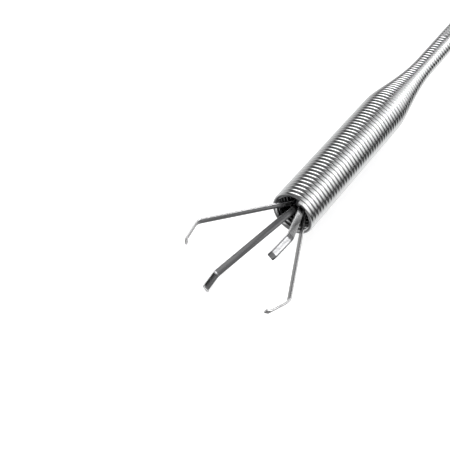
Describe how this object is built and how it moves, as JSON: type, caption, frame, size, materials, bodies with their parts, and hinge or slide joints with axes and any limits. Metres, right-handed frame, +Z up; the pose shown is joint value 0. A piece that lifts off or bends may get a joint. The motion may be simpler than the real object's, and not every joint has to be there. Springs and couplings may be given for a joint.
{
  "type": "flexible claw pick-up tool",
  "caption": "Flexible pick-up tool: spring claws open from a wide coil nose on a close-wound steel sheath when the thumb plunger at the other end is pressed.",
  "frame": {"origin": "centre of the thumb button's flat end face, on the tool's axis", "axes": "+X along the tool's axis from the claws to the thumb button, +Z up with the tool lying on its side, on the feet of its finger flange, +Y to the left seen from the claws' side looking along +X"},
  "size_m": [0.6021, 0.036, 0.0224],
  "materials": {
    "sheath": "bright plated spring wire",
    "claw": "spring steel strip with fine lengthwise grain",
    "steel": "bright drawn steel",
    "dark_steel": "blackened steel",
    "chrome": "polished plating",
    "rubber": "matt black rubber"
  },
  "bodies": {
    "handle": {"nose_spring": "sheath", "flex_shaft": "sheath", "front_socket": "chrome", "socket_screw": "dark_steel", "barrel": "chrome", "finger_flange": "chrome", "rear_bush": "chrome", "bumper": "rubber", "return_spring": "steel"},
    "plunger": {"claw_ferrule": "dark_steel", "pull_wire": "steel", "wire_crimp": "dark_steel", "plunger_rod": "steel", "rod_clip": "dark_steel", "spring_collar": "steel", "thumb_button": "chrome", "button_screw": "dark_steel"},
    "claw_side": {"claw_side": "claw"},
    "claw_low": {"claw_low": "claw"},
    "claw_far": {"claw_far": "claw"},
    "claw_top": {"claw_top": "claw"}
  },
  "joints": [
    {"name": "plunger_slide", "type": "slide", "parent": "handle", "child": "plunger", "axis": [1, 0, 0], "range_m": [0, 0.0045], "stiffness_N_per_m": 400, "springref_m": 0.0105, "deforming": ["return_spring"]},
    {"name": "claw_side_hinge", "type": "hinge", "parent": "plunger", "child": "claw_side", "pos_m": [-0.5744, 0.00166, 0.00035], "axis": [0, -0.2079, 0.9781], "range_deg": [0, 23.5]},
    {"name": "claw_low_hinge", "type": "hinge", "parent": "plunger", "child": "claw_low", "pos_m": [-0.5744, 0.00116, -0.00124], "axis": [0, 0.729, 0.6845], "range_deg": [0, 19.4]},
    {"name": "claw_far_hinge", "type": "hinge", "parent": "plunger", "child": "claw_far", "pos_m": [-0.5744, -0.00149, -0.00082], "axis": [0, 0.4833, -0.8755], "range_deg": [0, 15.4]},
    {"name": "claw_top_hinge", "type": "hinge", "parent": "plunger", "child": "claw_top", "pos_m": [-0.5744, -0.00101, 0.00136], "axis": [0, -0.8028, -0.5962], "range_deg": [0, 23]}
  ],
  "couplings": [
    {"joint": "claw_side_hinge", "follows": "plunger_slide", "rad_per_m": 90.8},
    {"joint": "claw_low_hinge", "follows": "plunger_slide", "rad_per_m": 75},
    {"joint": "claw_far_hinge", "follows": "plunger_slide", "rad_per_m": 59.3},
    {"joint": "claw_top_hinge", "follows": "plunger_slide", "rad_per_m": 89}
  ]
}
